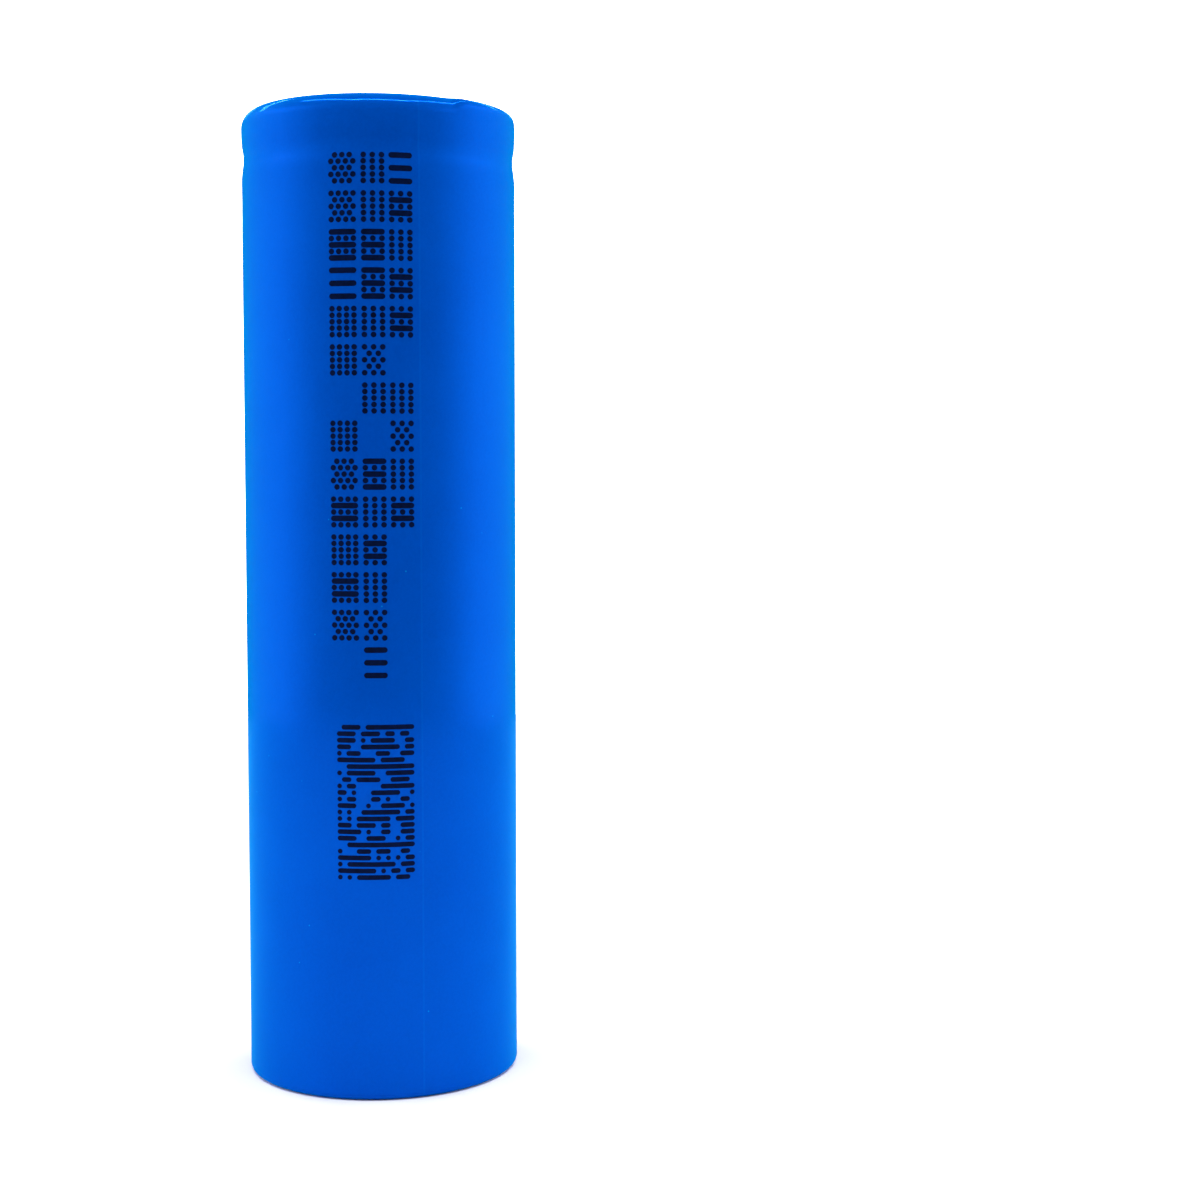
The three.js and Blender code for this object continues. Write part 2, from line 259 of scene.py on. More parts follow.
def ramp(tree, factor, stops):
    """A colour ramp from (position, colour) stops; a colour is an RGB triple or a grey."""
    made = node(tree, "ShaderNodeValToRGB", {"Fac": factor})
    elements = made.color_ramp.elements
    while len(elements) < len(stops):
        elements.new(0.5)
    for element, (place, colour) in zip(elements, stops):
        rgb = colour if isinstance(colour, tuple) else (colour,) * 3
        element.position, element.color = place, (*rgb, 1)
    return made.outputs["Color"]


def raised(tree, height, depth_mm, strength=1.0, below=None):
    """A bump of the given depth, laid over another bump's normal where one is given."""
    inputs = {"Height": height, "Distance": depth_mm * MM, "Strength": strength}
    if below is not None:
        inputs["Normal"] = below
    return node(tree, "ShaderNodeBump", inputs).outputs["Normal"]


def material(name, build, **constants):
    """A Principled material. build(tree) returns the sockets that vary; constants stay on the shader."""
    made = bpy.data.materials.new(name)
    made.use_nodes = True
    tree = made.node_tree
    shader = tree.nodes["Principled BSDF"]
    for key, value in constants.items():
        shader.inputs[key.replace("_", " ")].default_value = value
    for key, socket in build(tree).items():
        tree.links.new(socket, shader.inputs[key])
    return made


def blend(tree, factor, a, b):
    """A mix of two colours, each an RGB triple or a socket."""
    made = node(tree, "ShaderNodeMix", {"Factor": factor}, data_type="RGBA")
    for socket, value in ((made.inputs[6], a), (made.inputs[7], b)):
        if isinstance(value, bpy.types.NodeSocket):
            tree.links.new(value, socket)
        else:
            socket.default_value = (*value, 1)
    return made.outputs[2]


def sleeve_film(tree):
    """Glossy blue film: cloudiness, fine grain, orange peel, pale fold lines and a few specks."""
    cloud = speckle(tree, 0.12)
    base = ramp(tree, cloud, [(0.3, (0.0, 0.075, 0.56)), (0.7, (0.0, 0.085, 0.6))])
    grain = ramp(tree, speckle(tree, 5, detail=2), [(0.35, 0.0), (0.65, 0.16)])
    base = blend(tree, grain, base, (0.0, 0.11, 0.75))
    fold_plane = (math.sin(CREASE), -math.cos(CREASE), 0)
    across = node(tree, "ShaderNodeVectorMath", {0: position(tree), 1: fold_plane}, operation="DOT_PRODUCT")
    beside = node(tree, "ShaderNodeMath", {0: across.outputs["Value"]}, operation="ABSOLUTE")
    fold = ramp(tree, beside.outputs["Value"], [(0.03, 0.12), (0.09, 0.0)])
    base = blend(tree, fold, base, (0.0, 0.18, 0.85))
    specks = node(
        tree, "ShaderNodeTexVoronoi", {"Vector": position(tree), "Scale": 0.55, "Randomness": 1.0}
    ).outputs["Distance"]
    dust = ramp(tree, specks, [(0.02, 0.7), (0.035, 0.0)])
    base = blend(tree, dust, base, (0.0, 0.3, 0.85))
    peel = raised(tree, speckle(tree, 1.6, detail=2), 0.006, 0.5)
    lines = raised(tree, speckle(tree, 3.5, (1, 1, 0.03), detail=2), 0.004, 0.4, peel)
    rough = ramp(tree, speckle(tree, 0.4), [(0.3, 0.08), (0.7, 0.11)])
    return {"Base Color": base, "Roughness": rough, "Normal": lines}


def fibre_board(colour, light):
    """Pressed insulating board: matte, with short matted fibres and soft blotches."""

    def build(tree):
        blotch = ramp(tree, speckle(tree, 0.7), [(0.3, colour), (0.7, light)])
        fibres = speckle(tree, 9, (1, 0.25, 1), detail=4)
        base = blend(tree, ramp(tree, fibres, [(0.55, 0.0), (0.8, 0.35)]), blotch, light)
        grain = raised(tree, speckle(tree, 14, detail=4), 0.012, 0.6)
        rough = ramp(tree, fibres, [(0.3, 0.62), (0.7, 0.78)])
        return {"Base Color": base, "Roughness": rough, "Normal": grain}

    return build


def plated(colour, dark, pits=0.5, lines=(1, 1, 1), rough=(0.3, 0.42)):
    """Plated sheet metal: a fine satin grain, soft stains and scattered small pits."""

    def build(tree):
        stain = ramp(tree, speckle(tree, 0.5, detail=5), [(0.35, dark), (0.6, colour)])
        mottle = ramp(tree, speckle(tree, 7, lines, detail=3), [(0.35, 0.0), (0.65, 0.22)])
        stain = blend(tree, mottle, stain, tuple(0.6 * c for c in dark))
        cells = node(
            tree, "ShaderNodeTexVoronoi", {"Vector": position(tree), "Scale": 1.1, "Randomness": 1.0}
        ).outputs["Distance"]
        size = node(tree, "ShaderNodeMath", {0: cells, 1: speckle(tree, 0.8)}, operation="DIVIDE")
        pit = ramp(tree, size.outputs["Value"], [(0.1, pits), (0.2, 0.0)])
        base = blend(tree, pit, stain, tuple(0.2 * c for c in dark))
        grain = raised(tree, speckle(tree, 12, lines, detail=4), 0.006, 0.5)
        dents = raised(tree, speckle(tree, 2.2, detail=3), 0.01, 0.35, grain)
        roughness = ramp(tree, speckle(tree, 1.5, lines, detail=4), [(0.3, rough[0]), (0.7, rough[1])])
        return {"Base Color": base, "Roughness": roughness, "Normal": dents}

    return build


def moulded(colour, light, rough):
    """Moulded plastic: fine tool texture, with a slow change of shine."""

    def build(tree):
        base = ramp(tree, speckle(tree, 0.6), [(0.35, colour), (0.7, light)])
        texture = raised(tree, speckle(tree, 6, detail=3), 0.006, 0.5)
        shine = ramp(tree, speckle(tree, 0.9), [(0.3, rough[0]), (0.7, rough[1])])
        return {"Base Color": base, "Roughness": shine, "Normal": texture}

    return build


def coated_foil(colour, light):
    """Electrode coating: powdery, with streaks along the web that it was coated on."""

    def build(tree):
        streak = speckle(tree, 1.5, (1, 1, 0.05), detail=4)
        base = ramp(tree, streak, [(0.3, colour), (0.75, light)])
        powder = raised(tree, speckle(tree, 25, detail=3), 0.01, 0.6)
        rough = ramp(tree, streak, [(0.3, 0.6), (0.7, 0.72)])
        return {"Base Color": base, "Roughness": rough, "Normal": powder}

    return build


def thin_film(colour, light, rough):
    """Separator or tape film: faint crosswise stretch marks."""

    def build(tree):
        marks = speckle(tree, 2.0, (0.2, 0.2, 1), detail=3)
        base = ramp(tree, marks, [(0.3, colour), (0.7, light)])
        crinkle = raised(tree, speckle(tree, 1.2, detail=2), 0.01, 0.4)
        shine = ramp(tree, marks, [(0.3, rough[0]), (0.7, rough[1])])
        return {"Base Color": base, "Roughness": shine, "Normal": crinkle}

    return build


def ink(tree):
    """Ink-jet ink: near-black blue, thicker in places."""
    base = ramp(tree, speckle(tree, 3), [(0.3, (0.0, 0.003, 0.022)), (0.7, (0.0, 0.006, 0.045))])
    rough = ramp(tree, speckle(tree, 5), [(0.3, 0.45), (0.7, 0.6)])
    return {"Base Color": base, "Roughness": rough, "Normal": raised(tree, speckle(tree, 8), 0.005, 0.5)}


def studio_white(tree):
    """Matt white sweep, very slightly uneven."""
    base = ramp(tree, speckle(tree, 0.01), [(0.3, (0.92, 0.92, 0.92)), (0.7, (0.94, 0.94, 0.94))])
    return {"Base Color": base}


FILM = material(
    "shrink_film",
    sleeve_film,
    Metallic=0.18,
    Specular_IOR_Level=0.0,
    Specular_Tint=(0.0, 0.6, 1.0, 1),
    Sheen_Weight=0.3,
    Sheen_Roughness=0.45,
    Sheen_Tint=(0.0, 0.75, 0.8, 1),
    Coat_Weight=0.02,
    Coat_Roughness=0.045,
)
WASHER = material(
    "washer_board", fibre_board((0.013, 0.0165, 0.0195), (0.017, 0.021, 0.0245)), Specular_IOR_Level=0.2
)
CAN = material("can_plate", plated((0.5, 0.487, 0.455), (0.455, 0.44, 0.41), 0.5), Metallic=1.0)
CAP = material(
    "cap_plate", plated((0.24, 0.224, 0.178), (0.215, 0.2, 0.156), 0.8, rough=(0.5, 0.62)), Metallic=0.85
)
GASKET = material("gasket_polymer", moulded((0.008, 0.008, 0.009), (0.014, 0.014, 0.015), (0.2, 0.35)))
PTC = material("ptc_polymer", moulded((0.016, 0.016, 0.018), (0.026, 0.026, 0.028), (0.55, 0.7)))
ALUMINIUM = material(
    "aluminium_sheet", plated((0.8, 0.8, 0.81), (0.68, 0.68, 0.7), 0.2, (1, 0.06, 1)), Metallic=1.0
)
NICKEL = material(
    "nickel_strip", plated((0.66, 0.61, 0.54), (0.55, 0.5, 0.44), 0.2, (1, 1, 0.06)), Metallic=1.0
)
SPACER = material("spacer_polymer", moulded((0.66, 0.65, 0.6), (0.74, 0.73, 0.69), (0.4, 0.55)))
BOARD = material("insulator_board", fibre_board((0.06, 0.17, 0.115), (0.1, 0.24, 0.17)))
SEPARATOR = material(
    "separator_film", thin_film((0.8, 0.8, 0.78), (0.88, 0.88, 0.86), (0.4, 0.55)), Subsurface_Weight=0.1
)
CATHODE = material("cathode_coating", coated_foil((0.03, 0.03, 0.034), (0.05, 0.05, 0.056)))
ANODE = material("anode_coating", coated_foil((0.02, 0.02, 0.021), (0.035, 0.034, 0.035)))
TAPE = material("tape_film", thin_film((0.42, 0.16, 0.015), (0.52, 0.23, 0.03), (0.15, 0.28)))
INK = material("print_ink", ink, Specular_IOR_Level=0.05)
FLOOR = material("studio_white", studio_white, Roughness=0.9)


# ---------------------------------------------------------------- sleeve and its print

BEAD_DIP, BEAD_DIP_REACH = 0.15, 1.3
STEP_DIP, STEP_REACH, STEP_BELOW_BEAD = 0.022, 0.7, 2.7  # a shallower dip under the bead
WAVE = 0.012  # how deep the film's waves and how high its folds are
SQUARE_FROM, SQUARE_TO = (-59, -51), (30, 70)  # where the squarer shoulder starts and ends, in degrees
SQUARENESS = 2.4
EDGE_REACH = 1.1  # how far from an opening its unevenness goes


def sleeve_sink(z, angle):
    """How far the film lies inside its full radius, at a height and round the cell."""
    x, y = math.cos(angle), math.sin(angle)
    slow = noise.noise(Vector((1.3 * x, 1.3 * y, 0.06 * z)))
    bead = BEAD_DIP * (1 + 0.25 * slow) * bump(BEAD_HEIGHT - 0.05 + 0.15 * slow, BEAD_DIP_REACH, z)
    step = STEP_DIP * (1 + slow) * bump(BEAD_HEIGHT - STEP_BELOW_BEAD + 0.3 * slow, STEP_REACH, z)
    wave = WAVE * noise.noise(Vector((1.8 * x, 1.8 * y, 0.75 * z))) * smoothstep(2, 6, z)
    wave *= 0.35 + smoothstep(CELL_HEIGHT - 14, CELL_HEIGHT - 7, z)
    fold = WAVE * bump(0, 0.3, CELL_RADIUS * math.sin(angle - CREASE))
    return bead + step + wave + WAVE - fold


def squared(r, z, angle):
    """Squares the upper shoulder on the side where the film did not shrink down all the way."""
    turn = (math.degrees(angle) + 180) % 360 - 180
    amount = smoothstep(*SQUARE_FROM, turn) * (1 - smoothstep(*SQUARE_TO, turn))
    centre_r, centre_z = CELL_RADIUS - SLEEVE_TOP_CORNER, CELL_HEIGHT - SLEEVE_TOP_CORNER
    out, up = r - centre_r, z - centre_z
    if not amount or out <= 0 or up <= 0:
        return r, z
    size, power = math.hypot(out, up), 2 + SQUARENESS * amount
    stretch = ((out / size) ** power + (up / size) ** power) ** (-1 / power)
    return centre_r + out * stretch, centre_z + up * stretch


def sleeve_warp(r, z, angle):
    """Shapes the film: its dips down the side, its shoulder, and an uneven edge round each opening."""
    r, z = squared(r, z, angle)
    along_side = smoothstep(0.4, 1.4, z) * (1 - smoothstep(CELL_HEIGHT - 2.0, CELL_HEIGHT - 1.2, z))
    r -= along_side * sleeve_sink(z, angle)
    x, y = math.cos(angle), math.sin(angle)
    upper = z > CELL_HEIGHT / 2
    hole = SLEEVE_TOP_HOLE if upper else SLEEVE_BOTTOM_HOLE
    near_edge = 1 - smoothstep(hole, hole + EDGE_REACH, r)
    uneven = noise.noise(Vector((2.2 * x, 2.2 * y, 3.0 if upper else 7.0)))
    fine = noise.noise(Vector((9 * x, 9 * y, 5.0 if upper else 9.0)))
    r += near_edge * (0.05 * uneven + 0.015 * fine)
    z += (-1 if upper else 1) * near_edge * 0.02 * (1 + noise.noise(Vector((5 * x, 5 * y, 1.0))))
    return r, z


def sleeve_outline():
    """The film's outer skin from the lower opening to the upper one, and back along its inner skin."""
    skin = rounded(
        [
            (SLEEVE_BOTTOM_HOLE, 0.0, 0),
            (CELL_RADIUS, 0.0, SLEEVE_BOTTOM_CORNER),
            (CELL_RADIUS, CELL_HEIGHT, SLEEVE_TOP_CORNER),
            (SLEEVE_TOP_HOLE, CELL_HEIGHT, 0),
        ],
        12,
    )
    path = []
    for (r0, z0), (r1, z1) in zip(skin, skin[1:]):
        path.append((r0, z0))
        length = math.hypot(r1 - r0, z1 - z0)
        pieces = max(1, round(length / 0.22)) if length < 2 else round(length / 0.55)
        path += [(r0 + (r1 - r0) * i / pieces, z0 + (z1 - z0) * i / pieces) for i in range(1, pieces)]
    path.append(skin[-1])
    inner = []
    for i, (r, z) in enumerate(path):
        ahead, behind = path[min(i + 1, len(path) - 1)], path[max(i - 1, 0)]
        along = (Vector(ahead) - Vector(behind)).normalized()
        inner.append((r - along.y * SLEEVE_WALL, z + along.x * SLEEVE_WALL))
    return path + inner[::-1]


def shrink_sleeve():
    sharp = 60
    film = turned("sleeve_film", sleeve_outline(), FILM, SLEEVE_SEGMENTS, sleeve_warp, smooth_under=sharp)
    rim = film.modifiers.new("rim", "BEVEL")
    rim.width, rim.segments, rim.limit_method = 0.3 * SLEEVE_WALL * MM, 2, "ANGLE"
    rim.angle_limit = math.radians(sharp)
    applied(film)
    shade(film, sharp)
    stands_for(film, ["shrink_sleeve"])


# The print is a meaningless pattern of ink-jet dots and bars, in the place of the real one's lettering.
PRINT_TOP = 60.95
DOT, ROW_PITCH = 0.36, 0.41
GROUP_PITCH, ROWS_PER_GROUP = 2.42, 5
# Each column's left-hand dot, dot spacing, dots across, groups down it, and the groups left blank.
COLUMNS = ((-3.1, 0.24, 7, 13, (6,)), (-1.0, 0.29, 5, 14, (7,)), (0.78, 0.29, 5, 10, (5,)))
BLOCK_LEFT, BLOCK_TOP, BLOCK_COLUMNS, BLOCK_ROWS = -2.85, 24.5, 16, 24
BLOCK_DOT, BLOCK_ACROSS, BLOCK_DOWN, BLOCK_FILL = 0.31, 0.315, 0.425, 0.74
INK_HEIGHT = 0.008
PRINT_SEED = 7


def inked_bar(vertices, faces, x, z, length, dot):
    """One dot, or several run together into a bar with round ends, lying on the film."""
    steps, half = 5, dot / 2
    ends = [math.pi / 2 * i / steps for i in range(steps + 1)]
    stations = [(x - half * math.cos(a), half * math.sin(a)) for a in ends]
    pieces = round(length / 0.25)
    stations += [(x + length * i / pieces, half) for i in range(1, pieces)]
    stations += [(x + length + half * math.sin(a), half * math.cos(a)) for a in ends]
    first = len(vertices)
    for px, reach in stations:
        angle = -math.pi / 2 + px / CELL_RADIUS
        for lift, side in ((1, 1), (1, -1), (-1, -1), (-1, 1)):
            pz = z + side * max(reach, 0.01)
            r = CELL_RADIUS - sleeve_sink(pz, angle) + lift * INK_HEIGHT
            vertices.append((r * math.cos(angle), r * math.sin(angle), pz))
    for i in range(len(stations) - 1):
        here, ahead = first + 4 * i, first + 4 * (i + 1)
        for a in range(4):
            b = (a + 1) % 4
            faces.append([here + a, here + b, ahead + b, ahead + a])
    last = first + 4 * (len(stations) - 1)
    faces += [[first, first + 1, first + 2, first + 3], [last, last + 1, last + 2, last + 3]]


def runs(row):
    """Start and length of each run of dots in a row of 0s and 1s."""
    found, start = [], None
    for i, dot in enumerate([*row, 0]):
        if dot and start is None:
            start = i
        elif not dot and start is not None:
            found.append((start, i - start))
            start = None
    return found


def dot_group(draw, count):
    """The rows of one group: a grid of dots, staggered dots, bars, or bars and dots in turn."""
    bar, even, odd = [1] * count, [i % 2 == 0 for i in range(count)], [i % 2 for i in range(count)]
    blank = [0] * count
    pattern = draw.choice(((even, even), (even, odd), (odd, even), (bar, even), (even, bar), (bar, blank)))
    return [pattern[row % 2] for row in range(ROWS_PER_GROUP)]


def ink_print():
    draw = random.Random(PRINT_SEED)
    vertices, faces = [], []
    for left, across, count, groups, blank in COLUMNS:
        for group in range(groups):
            rows = dot_group(draw, count)
            if group in blank:
                continue
            for row, dots in enumerate(rows):
                z = PRINT_TOP - group * GROUP_PITCH - row * ROW_PITCH
                for start, length in runs(dots):
                    inked_bar(vertices, faces, left + start * across, z, (length - 1) * across, DOT)
    for row in range(BLOCK_ROWS):
        z = BLOCK_TOP - row * BLOCK_DOWN
        dots = [draw.random() < BLOCK_FILL for _ in range(BLOCK_COLUMNS)]
        for start, length in runs(dots):
            left = BLOCK_LEFT + start * BLOCK_ACROSS
            inked_bar(vertices, faces, left, z, (length - 1) * BLOCK_ACROSS, BLOCK_DOT)
    made = finished("ink_print", vertices, faces, INK)
    stands_for(made, [])


# ---------------------------------------------------------------- washer, can and cap assembly


def terminal_washer():
    outer, bottom, top = size_of("terminal_washer")

    def nick(r, z, angle):
        edge = 1 - smoothstep(WASHER_HOLE, WASHER_HOLE + 0.3, r)
        uneven = 0.02 * noise.noise(Vector((6 * math.cos(angle), 6 * math.sin(angle), 0)))
        off_centre = WASHER_SHIFT * math.sin(angle)
        return r + edge * (uneven + off_centre + 0.07 * bump(math.radians(88), 0.035, angle)), z

    made = turned("washer_ring", tube(WASHER_HOLE, outer, bottom, top, 0.05), WASHER, warp=nick)
    stands_for(made, ["terminal_washer"])


def steel_can():
    outer, bottom, top = size_of("steel_can")
    inner, floor = outer - CAN_WALL, bottom + CAN_FLOOR
    groove, reach, wall = outer - GROOVE_DEPTH, GROOVE_REACH, CAN_WALL
    corners = [
        (0, bottom, 0),
        (outer, bottom, 0.45),
        (outer, BEAD_HEIGHT - reach, 0.42),
        (groove, BEAD_HEIGHT - reach, reach * 0.98),
        (groove, BEAD_HEIGHT + reach, reach * 0.98),
        (outer, BEAD_HEIGHT + reach, 0.42),
        (outer, top, 1.25),
        (CAN_LIP, top, 0.08),
        (CAN_LIP, top - wall, 0.08),
        (inner, top - wall, 1.0),
        (inner, BEAD_HEIGHT + reach + wall, 0.17),
        (groove - wall, BEAD_HEIGHT + reach + wall, 0.75),
        (groove - wall, BEAD_HEIGHT - reach - wall, 0.75),
        (inner, BEAD_HEIGHT - reach - wall, 0.17),
        (inner, floor, 0.2),
        (0, floor, 0),
    ]
    made = turned("can_shell", rounded(corners, 8), CAN, smooth_under=50)
    stands_for(made, ["steel_can"])


def sealing_gasket():
    outer, skirt_bottom, top = size_of("sealing_gasket")
    rim, _, disc_top = size_of("vent_disc")
    floor = disc_top - VENT_SHEET - GAP
    corners = [
        (SKIRT_INNER, skirt_bottom, 0.08),
        (SKIRT_OUTER, skirt_bottom, 0.08),
        (SKIRT_OUTER, floor - GASKET_WALL, 0.1),
        (outer, floor - GASKET_WALL, 0.22),
        (outer, top, 1.15),
        (GASKET_HOLE, top, 0.12),
        (GASKET_HOLE, top - GASKET_WALL, 0.12),
        (rim + 0.05, top - GASKET_WALL, 0.02),
        (rim + 0.05, floor, 0.02),
        (SKIRT_INNER, floor, 0.05),
    ]
    made = turned("gasket_seal", rounded(corners, 6), GASKET, smooth_under=50)
    stands_for(made, ["sealing_gasket"])


def window_cutter(angle, bottom, top):
    """A solid that cuts one vent window through the edge of the cap's disc and its skirt."""
    arc = [(WINDOW_OUTER, WINDOW_HALF_ANGLE * t) for t in (-1, -0.5, 0, 0.5, 1)]
    outer_points = len(arc)
    for i in range(7):
        turn = i / 6 * math.pi / 2
        radial = WINDOW_INNER + WINDOW_CORNER * (1 - math.sin(turn))
        arc.append((radial, WINDOW_HALF_ANGLE - WINDOW_CORNER / WINDOW_INNER * (1 - math.cos(turn))))
    flat = WINDOW_HALF_ANGLE - WINDOW_CORNER / WINDOW_INNER
    arc += [(WINDOW_INNER, flat * t) for t in (0.75, 0.5, 0.25, 0)]
    arc += [(r, -a) for r, a in reversed(arc[outer_points:-1])]
    vertices = [
        (r * math.cos(angle + a), r * math.sin(angle + a), z) for z in (bottom, top) for r, a in arc
    ]
    n = len(arc)
    faces = [list(range(n)), list(range(n, 2 * n))]
    faces += [[i, (i + 1) % n, n + (i + 1) % n, n + i] for i in range(n)]
    return finished("cutter", vertices, faces, CAP)


def terminal_cap():
    flange, bottom, top = size_of("terminal_cap")
    corners = [
        (0, top - CAP_SHEET, 0),
        (CAP_DISC - CAP_SHEET, top - CAP_SHEET, 0.12),
        (CAP_SKIRT_FOOT - CAP_SHEET, bottom, 0.15),
        (flange, bottom, 0.06),
        (flange, bottom + CAP_SHEET, 0.06),
        (CAP_SKIRT_FOOT, bottom + CAP_SHEET, 0.12),
        (CAP_DISC, top, 0.28),
        (3.85, top, 0),  # this ring and the next keep the disc's long thin faces from shading unevenly
        (1, top, 0),
        (0, top, 0),
    ]
    made = turned("cap_disc", rounded(corners, 7), CAP, smooth_under=50)
    for i in range(WINDOWS):
        cut(made, window_cutter(WINDOW_ANGLE + i * 2 * math.pi / WINDOWS, bottom - 1, top + 1))
    flats_merged(made)
    edges = made.modifiers.new("edges", "BEVEL")
    edges.width, edges.segments, edges.limit_method = 0.05 * MM, 3, "ANGLE"
    edges.angle_limit = math.radians(50)
    applied(made)
    shade(made, 40)
    stands_for(made, ["terminal_cap"])


def vent_assembly():
    rim, _, top = size_of("vent_disc")
    sheet, dish_top = VENT_SHEET, top - VENT_DISH_DROP
    dish = [
        (VENT_SCORE, dish_top - sheet, 0.02),
        (3.85, dish_top - sheet, 0.3),
        (4.3, top - sheet, 0.25),
        (rim, top - sheet, 0.05),
        (rim, top, 0.05),
        (4.2, top, 0.25),
        (3.75, dish_top, 0.3),
        (VENT_SCORE, dish_top, 0.02),
    ]
    made = turned("vent_rim", rounded(dish), ALUMINIUM, HIDDEN_SEGMENTS)
    stands_for(made, ["vent_disc"])

    radius, lowest, highest = size_of("vent_disc_centre")
    centre = [
        (0, lowest, 0),
        (0.9, lowest, 0.1),
        (1.25, highest - sheet, 0.1),
        (radius, highest - sheet, 0.02),
        (radius, highest, 0.02),
        (1.15, highest, 0.1),
        (0.8, lowest + sheet, 0.1),
        (0, lowest + sheet, 0),
    ]
    made = turned("vent_centre_disc", rounded(centre), ALUMINIUM, HIDDEN_SEGMENTS)
    stands_for(made, ["vent_disc_centre"], VENT_BODY)

    for name, cad, hole, finish, slot in (
        ("ptc_annulus", "ptc_ring", PTC_HOLE, PTC, "ptc_polymer"),
        ("spacer_annulus", "cid_spacer", SPACER_HOLE, SPACER, "spacer_plastic"),
    ):
        outer, bottom, top = size_of(cad)
        made = turned(name, tube(hole, outer, bottom, top, 0.04), finish, HIDDEN_SEGMENTS)
        stands_for(made, [cad])


def perforated_disc(name, cad, finish, core_hole, holes):
    """A thin round plate with a hole in the middle, a ring of holes, or both."""
    outer, bottom, top = size_of(cad)
    fillet = 0.2 * (top - bottom)
    if core_hole:
        outline = tube(core_hole, outer, bottom, top, fillet)
    else:
        outline = rounded([(0, bottom, 0), (outer, bottom, fillet), (outer, top, fillet), (0, top, 0)], 3)
    made = turned(name, outline, finish, HIDDEN_SEGMENTS)
    count, ring_radius, radius = holes
    below, above = bottom - 1, top + 1
    bore = [(0, below), (radius, below), (radius, above), (0, above)]
    for i in range(count):
        angle = 2 * math.pi * i / count
        drill = turned("drill", bore, finish, DRILL_SEGMENTS)
        drill.location = Vector((ring_radius * math.cos(angle), ring_radius * math.sin(angle), 0)) * MM
        bpy.context.view_layer.update()
        cut(made, drill)
    shade(made, 35)
    stands_for(made, [cad])


# ---------------------------------------------------------------- electrode roll

ROLL_TURNS = 20
ROLL_CORE, ROLL_OUTER = 2.17, 8.38
STEPS_PER_TURN = 60
LAYER_GAP = 0.02


def spiral(name, cad, offset, thickness, finish):
    """One strip of the roll, wound at the same pitch as the others and starting a little further out."""
    _, bottom, top = size_of(cad)
    pitch = (ROLL_OUTER - ROLL_CORE) / (ROLL_TURNS + 1)
    vertices, faces = [], []
    steps = ROLL_TURNS * STEPS_PER_TURN
    for i in range(steps + 1):
        angle = 2 * math.pi * i / STEPS_PER_TURN
        inner = ROLL_CORE + offset + pitch * i / STEPS_PER_TURN
        for r, z in ((inner, bottom), (inner + thickness, bottom), (inner + thickness, top), (inner, top)):
            vertices.append((r * math.cos(angle), r * math.sin(angle), z))
        if i:
            here, last = 4 * i, 4 * (i - 1)
            for a in range(4):
                b = (a + 1) % 4
                faces.append([last + a, last + b, here + b, here + a])
    faces += [[0, 1, 2, 3], [4 * steps + a for a in range(4)]]
    made = finished(name, vertices, faces, finish)
    stands_for(made, [cad])


def electrode_roll():
    layers = (
        ("separator_wrap_inner", "inner_separator", 0.025, SEPARATOR, "separator_film"),
        ("cathode_wrap", "cathode_sheet", 0.085, CATHODE, "cathode_coating"),
        ("separator_wrap_outer", "outer_separator", 0.025, SEPARATOR, "separator_film"),
        ("anode_wrap", "anode_sheet", 0.08, ANODE, "anode_coating"),
    )
    offset = 0.0
    for name, cad, thickness, finish, slot in layers:
        spiral(name, cad, offset, thickness, finish)
        offset += thickness + LAYER_GAP
    outer, bottom, top = size_of("roll_tape")
    made = turned("roll_tape_wrap", tube(outer - 0.05, outer, bottom, top, 0.01), TAPE, HIDDEN_SEGMENTS)
    stands_for(made, ["roll_tape"])


def strip(name, cad, path, finish):
    """A flat strip bent along a path of (x, height) points, as wide as its CAD node."""
    _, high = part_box(cad)
    half = high.y / MM
    vertices, faces = [], []
    for i, point in enumerate(path):
        ahead, behind = path[min(i + 1, len(path) - 1)], path[max(i - 1, 0)]
        along = (Vector(ahead) - Vector(behind)).normalized()
        across = Vector((-along.y, along.x)) * TAB_THICKNESS / 2
        for side, y in ((1, -half), (1, half), (-1, half), (-1, -half)):
            x, z = Vector(point) + across * side
            vertices.append((x, y, z))
        if i:
            here, last = 4 * i, 4 * (i - 1)
            for a in range(4):
                b = (a + 1) % 4
                faces.append([last + a, last + b, here + b, here + a])
    faces += [[0, 1, 2, 3], [4 * (len(path) - 1) + a for a in range(4)]]
    made = finished(name, vertices, faces, finish)
    stands_for(made, [cad])


def tabs():
    """The positive tab, up the core and folded back to its weld, and the negative one, down the outside."""
    core, start, turn = 1.3, 20, 60.75
    weld = size_of("cid_plate")[1] - GAP - TAB_THICKNESS / 2
    fold = (weld - turn) / 2
    fillet, far = fold * 0.99, -3 - fold
    positive = [(core, start, 0), (core, turn, 0.36), (far, turn, fillet)]
    positive += [(far, weld, fillet), (2.6, weld, 0)]
    strip("positive_lead", "positive_tab", rounded(positive, 8), ALUMINIUM)
    outside, start, weld = 8.56, 14, -2.5
    foot = size_of("steel_can")[1] + CAN_FLOOR + GAP + TAB_THICKNESS / 2
    negative = [(outside, start, 0), (outside, foot, 0.36), (weld, foot, 0)]
    strip("negative_lead", "negative_tab", rounded(negative, 8), NICKEL)
    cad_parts["positive_tab_tape"].material_slots[0].material = TAPE


# ---------------------------------------------------------------- studio

FLOOR_RADIUS, FLOOR_THICKNESS = 200, 5
ROOM_LIGHT = 4.0
ROOM_WALL = 0.08  # the walls between the windows, where a window is 1
ROOM_FRONT = 0.14  # the part of its light that the camera's side of the room keeps
STRIP_DISTANCE = 4.5  # in cell heights


